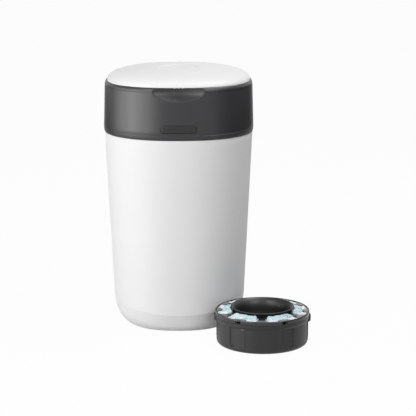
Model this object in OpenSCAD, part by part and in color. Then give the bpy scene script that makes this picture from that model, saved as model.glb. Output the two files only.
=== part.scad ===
// Nappy bin with a twisting film ring, and a refill cartridge that stands beside it.
// Millimetres, +Z up, front of the bin towards -Y, origin at the centre of the bucket's base.

/* [Bucket] */
// Half width of the bucket at its shoulder
bucket_half = 126.2; // [118:0.1:136]
// Height of the shoulder that carries the upper unit
bucket_h = 336.7; // [280:0.1:400]
// Lean of the sides, width lost per unit of height going down
bucket_lean = 0.0473; // [0.02:0.0001:0.07]
// Half width of the flat base
base_half = 77; // [74:0.1:86]
// Height of the crease above the turned-in foot, at front and back
crease_z = 35; // [25:0.5:45]
// How much higher that crease stands at the left and right
crease_rise = 14; // [0:0.5:20]
// How far the foot is hollowed under the crease
foot_hollow = 2; // [0:0.1:6]
// Wall of the bucket
bucket_wall = 2.6; // [2:0.1:3.2]
// Thickness of the bucket's floor
floor_t = 3; // [2:0.1:5]
// Height of the neck that stands up inside the collar
neck_h = 10.8; // [6:0.1:11.2]
// Step in from the shoulder to the neck
neck_step = 3.9; // [3:0.1:5]
// Radius of a base pad
pad_r = 9; // [5:0.5:12]
// Thickness of a base pad
pad_t = 1.4; // [1:0.1:2]
// Distance of a base pad from the middle, along X and along Y
pad_at = 47; // [38:1:48]

/* [Collar] */
// How far the collar stands out past the bucket's shoulder
collar_proud = 1.8; // [1:0.1:2.5]
// Height of the collar
collar_h = 86; // [80:0.5:110]
// How much the collar narrows from its bottom to its shoulder
collar_lean = 2.2; // [0:0.1:3]
// Height of the rounded shoulder
shoulder_h = 7.7; // [4:0.1:9]
// Depth of the rounded shoulder
shoulder_in = 4.5; // [3:0.1:6]
// Wall of the collar
collar_wall = 2.5; // [2:0.1:3.2]
// Distance of the skirt's inside behind the bucket's shoulder
skirt_in = 13.7; // [12.2:0.1:16]
// Wall of the skirt, thick enough for the deck screws
skirt_wall = 6; // [5:0.1:6]

/* [Finger scoop] */
// Half width of the scoop
scoop_half = 43.6; // [30:0.1:50]
// Height of the scoop's lower half
scoop_down = 18.7; // [12:0.1:20]
// Distance of the scoop's widest line below the top of the collar
scoop_top = 5; // [2:0.5:8]
// Depth of the scoop behind the collar's face
scoop_depth = 10; // [6:0.1:10.4]
// Wall behind the scoop
scoop_wall = 2.3; // [1.5:0.1:2.4]

/* [Release button] */
// Width of the button
button_w = 59.4; // [40:0.2:70]
// Height of the button
button_h = 13; // [10:0.2:16]
// Corner radius of the button
button_corner = 4.5; // [2:0.1:4.8]
// Height of the button's middle above the collar's bottom edge
button_up = 18.5; // [18.2:0.1:26]
// How far the button lies behind the collar's face
button_sunk = 1; // [0.5:0.1:1.5]
// Thickness of the button
button_t = 2.6; // [2:0.1:3]
// Travel of the button
button_travel = 2.5; // [1:0.1:2.6]
// Radius of a button spring
spring_r = 3.4; // [2.5:0.1:4]
// Wire of a button spring
spring_wire = 0.7; // [0.5:0.1:1]

/* [Lid] */
// Height of the lid's dome
dome_h = 23.6; // [18:0.1:30]
// Roundness of the dome, 2 is an ellipse and more is squarer
dome_power = 2.25; // [2:0.05:3]
// Wall of the lid
lid_wall = 2.2; // [1.8:0.1:3]
// Depth that the liner's floor hangs below the top of the collar
liner_drop = 7; // [5:0.5:8]
// Thickness of the liner
liner_t = 2.2; // [1.5:0.1:3]
// Reach of the seal past the liner's side
seal_reach = 3.6; // [2:0.1:3.7]
// Height of the seal
seal_h = 4; // [2:0.5:5]
// Spacing of the ribs under the lid's front lip
rib_gap = 6.7; // [4:0.1:10]
// Radius of a rib
rib_r = 1.5; // [1:0.1:1.8]

/* [Deck and twist ring] */
// Thickness of the deck
deck_t = 4; // [3:0.1:5]
// Wall of the twist ring's barrel where it meets the deck
barrel_wall = 4.7; // [3.2:0.1:8]
// Height of the twist ring's barrel below the deck
barrel_down = 34; // [30:0.5:40]
// Reach of the twist ring's flange past its barrel
flange_out = 8; // [6:0.5:9]
// Thickness of that flange
flange_t = 3.2; // [2:0.1:4]
// Height of the hand grip above the flange
grip_h = 11.5; // [6:0.5:12]
// Number of scallops round the hand grip
grips = 16; // [8:1:24]
// Number of click notches round the barrel
clicks = 24; // [12:1:36]
// Radius of a click notch
notch_r = 2; // [1:0.1:2.2]
// Reach of the retainer past that flange
retainer_out = 10; // [8:0.5:12]
// Thickness of the retainer over the flange
retainer_t = 3; // [2:0.1:4]

/* [Film cutter] */
// Distance of the cutter's pivot outside the barrel
cutter_out = 17.7; // [15:0.1:18.5]
// Compass place of the pivot, counted from +X
cutter_place = 152.4; // [140:0.1:165]
// Length of the cutter arm
cutter_len = 108; // [90:1:110]
// Thickness of the cutter arm
cutter_t = 4; // [3:0.1:5]

/* [Rear hinges] */
// Radius of the upper unit's hinge pin
unit_pin_r = 2.45; // [2:0.05:3]
// Radius of the upper unit's hinge knuckles
unit_knuckle_r = 5; // [4:0.1:5.2]
// Radius of the lid's hinge pin
lid_pin_r = 1.95; // [1.5:0.05:2.2]
// Radius of the lid's hinge knuckles
lid_knuckle_r = 4; // [3.5:0.1:4.2]
// Distance of the inner knuckles' near face from the middle
knuckle_in = 11; // [6:0.5:14]
// Width of an inner knuckle
knuckle_w = 9; // [6:0.5:10]
// Width of an outer knuckle
lug_w = 6.6; // [5:0.1:8]

/* [Cartridge] */
// Place of the cartridge's middle, right of the bin's middle
cart_x = 137.9; // [135:0.1:180]
// Place of the cartridge's middle, in front of the bin's middle
cart_y = 147; // [145:0.1:220]
// Radius of the cartridge's tub
tub_r = 76.2; // [72:0.1:77]
// Height of the tub
tub_h = 49; // [44:0.5:52]
// Reach of the tub's flange past the tub
tub_flange_out = 1.6; // [1.4:0.1:2]
// Wall of the tub
tub_wall = 2; // [1.5:0.1:2.5]
// Outer radius of the tub's core
core_r = 46.8; // [44:0.1:48]
// Reach of the cover past the tub's flange
cover_out = 0.5; // [0.2:0.1:0.8]
// Height of the cover ring
cover_h = 7; // [5:0.5:9]
// Width of a spoke in the cover
spoke_w = 11; // [6:0.5:13]
// Width of a tab inside the cover's rim, where it meets the rim
tab_w = 20; // [14:0.5:24]
// Depth of a tab inside the rim
tab_in = 9; // [5:0.5:12]
// Number of spokes
spokes = 6; // [3:1:8]
// How far the cartridge is turned, as seen in front
cart_turn = -3.5; // [-20:0.5:20]
// Radius of the funnel's lip
lip_r = 52.3; // [50:0.1:54]
// Height of the funnel's lip above the cover
lip_up = 7; // [6:0.5:12]
// Reach of the ears past the tub
ear_out = 4.4; // [3:0.1:4.8]
// Radius of a side ear
ear_r = 8; // [5:0.1:9]
// How far the film swells up through the cover's windows
film_swell = 5; // [2:0.1:6]

/* [Fits] */
// Gap between faces that pass each other or stand beside each other
gap = 0.3; // [0.2:0.05:0.5]
// Gap between a hinge lug and the shell that it is moulded onto
seat_gap = 0.1; // [0.05:0.05:0.3]
// Radial clearance of a pin in its bore
pin_fit = 0.05; // [0.02:0.01:0.1]
// Radius of a screw's shank
screw_r = 1.25; // [1:0.05:1.5]
// Radius of a screw's head
screw_head_r = 3; // [2.5:0.1:3.2]
// Height of a screw's head
screw_head_h = 1.6; // [1:0.1:1.8]

/* [Hidden] */

charcoal = "#3a3a3d";
white = "#e9e9e9";
film_blue = "#c4dbe2";
steel = "#b8bbc0";
rubber_grey = "#2a2a2c";

// The plan is a superellipse: its power is 2 for a circle and grows towards a square
foot_power = 2.37;
body_power = 2.3;
inner_power = 2.4;
lid_power = 2.46;
ring_pts = 72;
round_fn = 64;
eps = 0.01;

// Upper unit
unit_z = bucket_h + gap;
collar_half = bucket_half + collar_proud;
collar_top = unit_z + collar_h;
collar_in = collar_half - collar_wall;
shoulder_half = collar_half - collar_lean;
rim_half = shoulder_half - shoulder_in;
skirt_half = bucket_half - skirt_in;
inner_flange = 2;
inner_flange_h = 3;
inner_flange_half = collar_in - inner_flange;
neck_half = bucket_half - neck_step;
neck_in = neck_half - bucket_wall;

// The skirt and the deck under it lie just below the scoop's bowl
skirt_h = scoop_top + scoop_down + scoop_wall + 0.5;

// Deck and what it carries
deck_top = collar_top - skirt_h;
deck_z = deck_top - deck_t;
deck_half = shoulder_half - collar_wall - gap;
tub_flange_r = tub_r + tub_flange_out;
cover_r = tub_flange_r + cover_out;
ear_reach = tub_r + ear_out;
seat_r = ear_reach + 0.8;
tub_seat_r = tub_r + 0.8;
barrel_r = seat_r + barrel_wall;
flange_r = barrel_r + flange_out;
retainer_r = flange_r + retainer_out;
deck_bore_r = barrel_r + gap;
flange_z = deck_top + gap;
flange_top = flange_z + flange_t;
retainer_z = flange_top + gap;
retainer_bore_r = barrel_r + 2;
grip_top = flange_top + grip_h;
barrel_z = deck_z - barrel_down;
seat_z = deck_z - 4;
screw_ring_r = (flange_r + retainer_r) / 2 + 0.5;
screws = 6;
screw_turn = 360 / screws;
deck_screw_half = skirt_half + skirt_wall / 2;
deck_screw_len = 9;

// Button and latch
button_z = unit_z + button_up;
button_y = -(collar_half - button_sunk);
button_back = button_y + button_t;
keeper_in = 4.4;
keeper_h = 3;
keeper_w = 20;
keeper_z = bucket_h - 1;
hook_y = -(neck_in - keeper_in - gap);
hook_t = 2.4;
hook_w = 20;
hook_down = 14;
bracket_half = button_w / 2 + 4;
bracket_side = 3;
bracket_t = 2;
bracket_y = hook_y + hook_t + button_travel + gap;
bracket_front = front_y(collar_in - collar_lean / 2 - gap, bracket_half + bracket_side) + gap;
spring_at = 19;
spring_front = front_y(-button_back, spring_at + spring_r) + gap;
spring_len = bracket_y - spring_front - gap;

// Lid
lid_z = collar_top + gap;
lid_half = rim_half - 0.1;
liner_z = collar_top - liner_drop;
seal_half = skirt_half - 0.6;
liner_half = seal_half - seal_reach;
liner_rim_z = collar_top + 6;
liner_screw_at = 66;
boss_r = 4;

// Hinges, both along X at the back
unit_axis_y = collar_half + unit_knuckle_r + 0.5;
unit_axis_z = unit_z + 1;
lid_axis_y = collar_half + 1.5;
lid_axis_z = collar_top + 2.5;
lug_x = knuckle_in + knuckle_w + 0.4;
lug_h = 4.8 * unit_knuckle_r;
lid_lug_h = 4 * lid_knuckle_r;
pin_half_len = lug_x + lug_w + 0.6;

// Cutter
cutter_top = unit_z + 8.6;
cutter_z = cutter_top - cutter_t;
cutter_at = barrel_r + cutter_out;
cutter_x = cutter_at * cos(cutter_place);
cutter_y = cutter_at * sin(cutter_place);
cutter_rest = -85.8;
cutter_eye_r = 7;
cutter_pin_r = 2.5;
cutter_tip_w = 9;
blade_t = 0.8;
blade_in = 30;
blade_out = cutter_len - 20;

// Cartridge
tub_floor = 2;
tub_corner = 6.5;
rib_z = tub_corner + 1;
notch_z = rib_z + 1;
notch_top = 9;
cover_z = tub_h;
cover_top = cover_z + cover_h;
plate_t = 1.5;
plate_down = 0.3;
lip_z = cover_top + lip_up;
hub_in = core_r + 2.2;
hub_out = hub_in + 2;
rim_w = 2;
tabs = 2 * spokes;
tab_out = cover_r - rim_w + 0.4;
throat_r = core_r - 4.8;
film_in = core_r + 2.2;
film_out = tub_r - tub_wall - 0.6;
ear_z = tub_h - 5.5;
inner_corner = 5;
clip_angle = 30;
clip_in = 1.6;
clip_w = 9;

function signed_pow(v, e) = (v < 0 ? -1 : 1) * pow(abs(v), e);

// A point of a superellipse of half width r and power n, at parameter t
function plan_pt(r, n, t) = [r * signed_pow(cos(t), 2 / n), r * signed_pow(sin(t), 2 / n)];

// The plan at one height, as a closed ring of points
function ring(r, n, z) = [for (i = [0 : ring_pts - 1]) let (p = plan_pt(r, n, 360 * i / ring_pts)) [p.x, p.y, z]];

// The point of the plan that lies in the direction a
function plan_at(r, n, a) =
    let (k = r / pow(pow(abs(cos(a)), n) + pow(abs(sin(a)), n), 1 / n)) [k * cos(a), k * sin(a)];

// How far forward the body's plan reaches at a place x beside the middle
function front_y(r, x) = -r * pow(1 - pow(x / r, body_power), 1 / body_power);

// Half width of the bucket's outside at a height above the crease
function side_half(z) = bucket_half - (bucket_h - z) * bucket_lean;

// The height of the crease above one point of the plan
function crease_at(t) = crease_z + crease_rise * pow(abs(cos(t)), 4 / foot_power);

// A ring of the foot: s is 0 at the crease and 1 at the base, in goes in from the outside
function foot_ring(s, in, floor) = [for (i = [0 : ring_pts - 1])
    let (t = 360 * i / ring_pts)
    let (c = crease_at(t))
    let (top = side_half(c))
    let (r = base_half + (top - base_half) * sqrt(1 - s * s) - foot_hollow * s * (1 - s) - in)
    let (p = plan_pt(r, foot_power, t))
    [p.x, p.y, floor + (c - floor) * (1 - s)]];

// A skin through rings of points: capped at both ends, or closed round on itself
module skin(rings, closed = false) {
    n = len(rings[0]);
    k = len(rings);
    caps = closed ? [] : [[for (i = [0 : n - 1]) i], [for (i = [n - 1 : -1 : 0]) (k - 1) * n + i]];
    sides = [for (j = [0 : closed ? k - 1 : k - 2], i = [0 : n - 1])
        let (a = j * n + i)
        let (b = j * n + (i + 1) % n)
        let (c = ((j + 1) % k) * n + (i + 1) % n)
        let (d = ((j + 1) % k) * n + i)
        each [[a, d, c], [a, c, b]]];
    polyhedron(points = [for (r = rings) each r], faces = concat(caps, sides));
}

// A flat plate with the bin's plan
module plan_plate(r, n, h) {
    linear_extrude(height = h) polygon([for (i = [0 : ring_pts - 1]) plan_pt(r, n, 360 * i / ring_pts)]);
}

// A rectangle with round corners, centred, standing upright and facing the front
module upright_pill(w, h, corner, depth) {
    rotate([90, 0, 0])
        linear_extrude(height = depth) {
            square([w - 2 * corner, h], center = true);
            square([w, h - 2 * corner], center = true);
            for (x = [-1, 1], y = [-1, 1])
                translate([x * (w / 2 - corner), y * (h / 2 - corner)])
                    circle(r = corner, $fn = 32);
        }
}

// An upright profile in Y and Z, extruded along X from x0 over a width w
module side_profile(x0, w, points) {
    translate([x0, 0, 0]) rotate([90, 0, 90]) linear_extrude(height = w) polygon(points);
}

// A cylinder that lies along X
module x_rod(x0, w, y, z, r) {
    translate([x0, y, z]) rotate([0, 90, 0]) cylinder(r = r, h = w, $fn = round_fn);
}

// Bores for a hinge's pin, right through both pairs of knuckles
module hinge_bore(y, z, r) {
    x_rod(-pin_half_len - 1, 2 * pin_half_len + 2, y, z, r + pin_fit);
}

// The outside of the collar, from its bottom edge up over its shoulder
function collar_outside(grow = 0) = concat(
    [ring(collar_half - 0.7 + grow, body_power, unit_z),
     ring(collar_half + grow, body_power, unit_z + 0.7)],
    [for (a = [0 : 22.5 : 90])
        ring(shoulder_half - shoulder_in * (1 - cos(a)) + grow,
             body_power + (lid_power - body_power) * a / 90,
             collar_top - shoulder_h * (1 - sin(a)))]);

// The scoop's bowl, grown by a wall where it is asked for
module scoop_bowl(grow) {
    translate([0, -shoulder_half - 1, collar_top - scoop_top])
        resize([2 * (scoop_half + grow), 2 * (scoop_depth + 1 + grow), 2 * (scoop_down + grow)])
            sphere(r = scoop_half, $fn = 40);
}

module bucket() {
    steps = [90, 72, 54, 38, 22, 8];
    outside = [for (a = steps) foot_ring(sin(a), 0, 0)];
    inside = [for (a = [8, 30, 54, 74, 90]) foot_ring(sin(a), bucket_wall, floor_t)];
    color(white) difference() {
        skin(concat(
            outside,
            [foot_ring(0, 0, 0),
             ring(bucket_half, body_power, bucket_h),
             ring(neck_half, body_power, bucket_h),
             ring(neck_half, body_power, bucket_h + neck_h),
             ring(neck_in, body_power, bucket_h + neck_h),
             ring(neck_in, body_power, bucket_h - 6),
             ring(bucket_half - bucket_wall - 0.7, body_power, bucket_h - 14)],
            inside));
        for (x = [-pad_at, pad_at], y = [-pad_at, pad_at])
            translate([x, y, -1]) cylinder(r = pad_r + 0.2, h = pad_t + 1, $fn = 48);
    }
}

// The two lugs at the back of the bucket, cut to its wall
module unit_hinge_lugs() {
    color(white) difference() {
        for (x = [-lug_x - lug_w, lug_x]) {
            x_rod(x, lug_w, unit_axis_y, unit_axis_z, unit_knuckle_r);
            side_profile(x, lug_w, [
                [bucket_half - 4.2, bucket_h - lug_h],
                [bucket_half - 1.5, bucket_h - lug_h],
                [unit_axis_y + unit_knuckle_r * 0.7, unit_axis_z - unit_knuckle_r * 0.7],
                [unit_axis_y, unit_axis_z],
                [unit_axis_y - 3, unit_z - gap],
                [bucket_half - 4.2, unit_z - gap]]);
        }
        skin([for (z = [bucket_h / 2, bucket_h + neck_h]) ring(side_half(z) + seat_gap, body_power, z)]);
        hinge_bore(unit_axis_y, unit_axis_z, unit_pin_r);
    }
}

module base_pads() {
    color(rubber_grey)
        for (x = [-pad_at, pad_at], y = [-pad_at, pad_at])
            translate([x, y, 0]) cylinder(r = pad_r, h = pad_t, $fn = 48);
}

module unit_hinge_pin() {
    color(steel) x_rod(-pin_half_len, 2 * pin_half_len, unit_axis_y, unit_axis_z, unit_pin_r);
}

// A clip on the inner face of the neck, with the bead that the button's hook meets
module latch_keeper() {
    color(charcoal)
        side_profile(-keeper_w / 2, keeper_w, [
            [-neck_in + gap, bucket_h - 5],
            [-neck_in + gap + 1.2, bucket_h - 5],
            [-neck_in + gap + 1.2, keeper_z],
            [-neck_in + keeper_in, keeper_z + 1],
            [-neck_in + keeper_in, keeper_z + keeper_h],
            [-neck_in + gap + 1.2, keeper_z + keeper_h + 2],
            [-neck_in + gap, bucket_h + neck_h]]);
}

module collar() {
    rings = concat(collar_outside(), [
        ring(skirt_half, inner_power, collar_top),
        ring(skirt_half, inner_power, deck_top),
        ring(skirt_half + skirt_wall, inner_power, deck_top),
        ring(skirt_half + skirt_wall, inner_power, collar_top - 4),
        ring(rim_half - 1.6, lid_power, collar_top - 2.4),
        ring(shoulder_half - collar_wall, body_power, collar_top - shoulder_h),
        ring(collar_in, body_power, unit_z + inner_flange_h + inner_flange),
        ring(inner_flange_half, body_power, unit_z + inner_flange_h),
        ring(inner_flange_half, body_power, unit_z)]);
    color(charcoal) difference() {
        union() {
            skin(rings, closed = true);
            intersection() {
                skin(collar_outside());
                scoop_bowl(scoop_wall);
            }
        }
        scoop_bowl(0);
        translate([0, -collar_in + 3, button_z])
            upright_pill(button_w + 2 * gap, button_h + 2 * gap, button_corner + gap, 12);
        for (i = [0 : screws - 1]) {
            p = plan_at(deck_screw_half, inner_power, screw_turn * (i + 0.5));
            translate([p.x, p.y, deck_top - 1]) cylinder(r = screw_r + pin_fit, h = deck_screw_len, $fn = 24);
        }
    }
}

// The two knuckles at the back of the collar's lower edge, cut to its wall
module unit_hinge_knuckles() {
    color(charcoal) difference() {
        for (x = [-knuckle_in - knuckle_w, knuckle_in]) {
            x_rod(x, knuckle_w, unit_axis_y, unit_axis_z, unit_knuckle_r);
            side_profile(x, knuckle_w, [
                [collar_half - 3.6, unit_axis_z - 0.8],
                [unit_axis_y, unit_axis_z - 0.8],
                [unit_axis_y, unit_axis_z + unit_knuckle_r],
                [collar_half - 3.6, unit_axis_z + unit_knuckle_r + 8]]);
        }
        skin(collar_outside(seat_gap));
        hinge_bore(unit_axis_y, unit_axis_z, unit_pin_r);
    }
}

// The two lugs behind the collar's shoulder that carry the lid's pin
module lid_hinge_lugs() {
    color(charcoal) difference() {
        for (x = [-lug_x - lug_w, lug_x]) {
            x_rod(x, lug_w, lid_axis_y, lid_axis_z, lid_knuckle_r);
            side_profile(x, lug_w, [
                [collar_half - 4, lid_axis_z - lid_lug_h],
                [collar_half - 2, lid_axis_z - lid_lug_h],
                [lid_axis_y + lid_knuckle_r, lid_axis_z - 5],
                [lid_axis_y + lid_knuckle_r, lid_axis_z],
                [lid_axis_y - lid_knuckle_r, lid_axis_z],
                [collar_half - 4, lid_axis_z - 6]]);
        }
        skin(collar_outside(seat_gap));
        hinge_bore(lid_axis_y, lid_axis_z, lid_pin_r);
    }
}

module lid_hinge_pin() {
    color(steel) x_rod(-pin_half_len, 2 * pin_half_len, lid_axis_y, lid_axis_z, lid_pin_r);
}

module deck() {
    color(charcoal) difference() {
        union() {
            translate([0, 0, deck_z]) plan_plate(deck_half, body_power, deck_t);
            translate([cutter_x, cutter_y, cutter_top + gap])
                cylinder(r = cutter_eye_r, h = deck_z - cutter_top, $fn = 48);
        }
        translate([0, 0, deck_z - 1]) cylinder(r = deck_bore_r, h = deck_t + 2, $fn = 96);
        for (i = [0 : screws - 1]) {
            p = plan_at(deck_screw_half, inner_power, screw_turn * (i + 0.5));
            translate([p.x, p.y, deck_z - 1]) cylinder(r = screw_r + 0.25, h = deck_t + 2, $fn = 24);
            rotate([0, 0, screw_turn * i])
                translate([screw_ring_r, 0, deck_z - 1]) cylinder(r = screw_r + pin_fit, h = deck_t + 2, $fn = 24);
        }
        translate([cutter_x, cutter_y, cutter_top - 1])
            cylinder(r = cutter_pin_r + pin_fit, h = 22, $fn = 32);
    }
}

module deck_screws() {
    color(steel)
        for (i = [0 : screws - 1]) {
            p = plan_at(deck_screw_half, inner_power, screw_turn * (i + 0.5));
            translate([p.x, p.y, deck_z - screw_head_h]) {
                cylinder(r = screw_head_r, h = screw_head_h, $fn = 32);
                cylinder(r = screw_r, h = screw_head_h + deck_t + deck_screw_len - 2, $fn = 24);
            }
        }
}

module ring_retainer() {
    color(charcoal) difference() {
        rotate_extrude($fn = 96) polygon([
            [flange_r + gap, deck_top],
            [retainer_r, deck_top],
            [retainer_r, retainer_z + retainer_t - 1],
            [retainer_r - 1, retainer_z + retainer_t],
            [retainer_bore_r + 1, retainer_z + retainer_t],
            [retainer_bore_r, retainer_z + retainer_t - 1],
            [retainer_bore_r, retainer_z],
            [flange_r + gap, retainer_z]]);
        for (i = [0 : screws - 1])
            rotate([0, 0, screw_turn * i])
                translate([screw_ring_r, 0, deck_top - 1])
                    cylinder(r = screw_r + 0.25, h = retainer_t + flange_t + 3, $fn = 24);
    }
}

module retainer_screws() {
    color(steel)
        for (i = [0 : screws - 1])
            rotate([0, 0, screw_turn * i])
                translate([screw_ring_r, 0, 0]) {
                    translate([0, 0, retainer_z + retainer_t])
                        cylinder(r = screw_head_r, h = screw_head_h, $fn = 32);
                    translate([0, 0, deck_z + 0.5])
                        cylinder(r = screw_r, h = retainer_z + retainer_t - deck_z, $fn = 24);
                }
}

// A leaf on a block under the deck, whose nose points into the click notches
module click_spring() {
    color(steel)
        rotate([0, 0, 20])
            translate([0, 0, deck_z - 6.3])
                linear_extrude(height = 6) polygon([
                    [barrel_r + 8, 14],
                    [barrel_r + 8, 6],
                    [barrel_r + 2.4, -6],
                    [barrel_r + gap, -8],
                    [barrel_r + 1, -9.5],
                    [barrel_r + 3.2, -6.5],
                    [barrel_r + 9, 6],
                    [barrel_r + 12, 6],
                    [barrel_r + 12, 14]]);
}

// The frame behind the button that carries its springs
module button_bracket() {
    wide = bracket_half + bracket_side;
    low = button_z - button_h / 2;
    color(charcoal) difference() {
        translate([-wide, bracket_front, low])
            cube([2 * wide, bracket_y + bracket_t - bracket_front, button_h]);
        translate([-bracket_half, bracket_front - 1, low - 1])
            cube([2 * bracket_half, bracket_y - bracket_front + 1, button_h + 2]);
    }
}

module release_button() {
    face = [ring(collar_half - button_sunk, body_power, button_z - button_h),
            ring(collar_half - button_sunk, body_power, button_z + button_h)];
    back = [ring(collar_half - button_sunk - button_t, body_power, button_z - button_h - 1),
            ring(collar_half - button_sunk - button_t, body_power, button_z + button_h + 1)];
    low = button_z - button_h / 2;
    color(charcoal) union() {
        intersection() {
            difference() {
                skin(face);
                skin(back);
            }
            translate([0, -neck_half + 8, button_z])
                upright_pill(button_w, button_h, button_corner, 20);
        }
        translate([-hook_w / 2, button_back - 0.3, low + 2.2])
            cube([hook_w, hook_y + hook_t - button_back + 0.3, 2.4]);
        translate([-hook_w / 2, hook_y, low + 2.2 - hook_down])
            cube([hook_w, hook_t, hook_down + 2.4]);
    }
}

module button_springs() {
    color(steel)
        for (x = [-spring_at, spring_at])
            translate([x, bracket_y - gap, button_z]) rotate([90, 0, 0]) difference() {
                cylinder(r = spring_r, h = spring_len, $fn = 32);
                translate([0, 0, -1]) cylinder(r = spring_r - spring_wire, h = spring_len + 2, $fn = 32);
            }
}

// One ring of the dome: a is 0 at the rim and 90 at the crown, in goes in from the outside
function dome_ring(a, in) =
    ring((lid_half - in) * pow(cos(a), 2 / dome_power), lid_power,
         lid_z + (dome_h - gap - in) * pow(sin(a), 2 / dome_power));

module lid_shell() {
    color(white) difference() {
        union() {
            skin(concat(
                [for (a = [86, 72, 56, 40, 24, 10, 0]) dome_ring(a, lid_wall)],
                [for (a = [0, 5, 12, 20, 30, 42, 54, 66, 77, 86]) dome_ring(a, 0)]));
            for (x = [-rib_gap, 0, rib_gap])
                translate([x, -lid_half + 2, lid_z - 0.9]) cylinder(r = rib_r, h = 3, $fn = 24);
            for (x = [-liner_screw_at, liner_screw_at], y = [-liner_screw_at, liner_screw_at])
                translate([x, y, liner_z + liner_t])
                    cylinder(r = boss_r, h = lid_z + dome_h * 0.72 - liner_z - liner_t, $fn = 32);
        }
        for (x = [-liner_screw_at, liner_screw_at], y = [-liner_screw_at, liner_screw_at])
            translate([x, y, liner_z]) cylinder(r = screw_r + pin_fit, h = 12, $fn = 24);
    }
}

// The two arms that reach from the lid's rear edge to its pin, cut to the dome
module lid_hinge_arms() {
    color(white) difference() {
        for (x = [-knuckle_in - knuckle_w, knuckle_in]) {
            x_rod(x, knuckle_w, lid_axis_y, lid_axis_z, lid_knuckle_r);
            side_profile(x, knuckle_w, [
                [lid_half - 4.2, lid_z + 0.2],
                [lid_axis_y - 1, lid_z + 0.2],
                [lid_axis_y, lid_axis_z + lid_knuckle_r],
                [lid_half - 4.2, lid_axis_z + lid_knuckle_r]]);
        }
        skin([for (a = [0, 5, 12, 20, 30, 42, 54, 66, 77, 86]) dome_ring(a, -seat_gap)]);
        hinge_bore(lid_axis_y, lid_axis_z, lid_pin_r);
    }
}

module lid_liner() {
    color(charcoal) difference() {
        translate([0, 0, liner_z]) plan_plate(liner_half, inner_power, liner_rim_z - liner_z);
        translate([0, 0, liner_z + liner_t])
            plan_plate(liner_half - liner_t, inner_power, liner_rim_z - liner_z);
        for (x = [-liner_screw_at, liner_screw_at], y = [-liner_screw_at, liner_screw_at])
            translate([x, y, liner_z - 1]) cylinder(r = screw_r + 0.25, h = liner_t + 2, $fn = 24);
    }
}

module lid_seal() {
    color(rubber_grey) translate([0, 0, liner_z + 1]) difference() {
        plan_plate(seal_half, inner_power, seal_h);
        translate([0, 0, -1]) plan_plate(liner_half + 0.1, inner_power, seal_h + 2);
    }
}

module liner_screws() {
    color(steel)
        for (x = [-liner_screw_at, liner_screw_at], y = [-liner_screw_at, liner_screw_at])
            translate([x, y, liner_z - screw_head_h]) {
                cylinder(r = screw_head_r, h = screw_head_h, $fn = 32);
                cylinder(r = screw_r, h = screw_head_h + 9, $fn = 24);
            }
}

// The ring that holds a cartridge: barrel, seat, flange, hand grip and click notches
module twist_ring() {
    color(charcoal) difference() {
        rotate_extrude($fn = 128) polygon([
            [tub_seat_r, barrel_z],
            [tub_seat_r + 2.4, barrel_z],
            [tub_seat_r + 2.4, seat_z - 6],
            [barrel_r, seat_z - 3],
            [barrel_r, flange_z],
            [flange_r, flange_z],
            [flange_r, flange_top],
            [barrel_r, flange_top],
            [barrel_r, grip_top - 1],
            [barrel_r - 1, grip_top],
            [seat_r + 1, grip_top],
            [seat_r, grip_top - 1],
            [seat_r, seat_z],
            [tub_seat_r, seat_z]]);
        for (i = [0 : clicks - 1])
            rotate([0, 0, 360 * i / clicks])
                translate([barrel_r + notch_r - 1, 0, seat_z - 4])
                    cylinder(r = notch_r, h = deck_z - seat_z + 3, $fn = 16);
        for (i = [0 : grips - 1])
            rotate([0, 0, 360 * i / grips])
                translate([barrel_r + 5, 0, flange_top + 1])
                    cylinder(r = 7, h = grip_h, $fn = 32);
        for (s = [0, 180])
            rotate([0, 0, s])
                translate([tub_seat_r - 1, -ear_r - 1, seat_z - 5])
                    cube([seat_r - tub_seat_r + 1, 2 * ear_r + 2, 6]);
    }
}

module cutter_pin() {
    color(steel) translate([cutter_x, cutter_y, cutter_z - 2]) {
        cylinder(r = cutter_pin_r, h = cutter_t + 20, $fn = 32);
        translate([0, 0, -1.4]) cylinder(r = cutter_pin_r + 2, h = 1.4 + 2 - gap, $fn = 32);
    }
}

// Places what is drawn along +X from the cutter's pivot
module at_cutter() {
    translate([cutter_x, cutter_y, cutter_z]) rotate([0, 0, cutter_rest]) children();
}

module cutter_arm() {
    color(charcoal) at_cutter() difference() {
        union() {
            cylinder(r = cutter_eye_r, h = cutter_t, $fn = 48);
            linear_extrude(height = cutter_t) polygon([
                [0, -cutter_eye_r],
                [cutter_len - 8, -cutter_tip_w / 2],
                [cutter_len, -1],
                [cutter_len, 2],
                [cutter_len - 8, cutter_tip_w / 2],
                [0, cutter_eye_r]]);
            translate([cutter_len - 14, 0, -5]) cylinder(r = 3.5, h = 5 + eps, $fn = 32);
        }
        translate([0, 0, -1]) cylinder(r = cutter_pin_r + pin_fit, h = cutter_t + 2, $fn = 32);
        translate([blade_in, -1, cutter_t / 2 - blade_t / 2 - 0.1])
            cube([blade_out - blade_in, cutter_eye_r + 8, blade_t + 0.2]);
    }
}

module cutter_blade() {
    color(steel) at_cutter()
        translate([0, 0, cutter_t / 2 - blade_t / 2])
            linear_extrude(height = blade_t) polygon([
                [blade_in + 1, 0], [blade_out - 1, 0],
                [blade_out - 1, cutter_tip_w / 2 + 2], [blade_out - 4, cutter_tip_w / 2 + 4],
                [blade_in + 4, cutter_eye_r + 3], [blade_in + 1, cutter_eye_r + 1]]);
}

// Places what is drawn round the cartridge's own upright axis, with its front towards -Y
module at_cartridge() {
    translate([cart_x, -cart_y, 0]) rotate([0, 0, cart_turn]) children();
}

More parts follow.
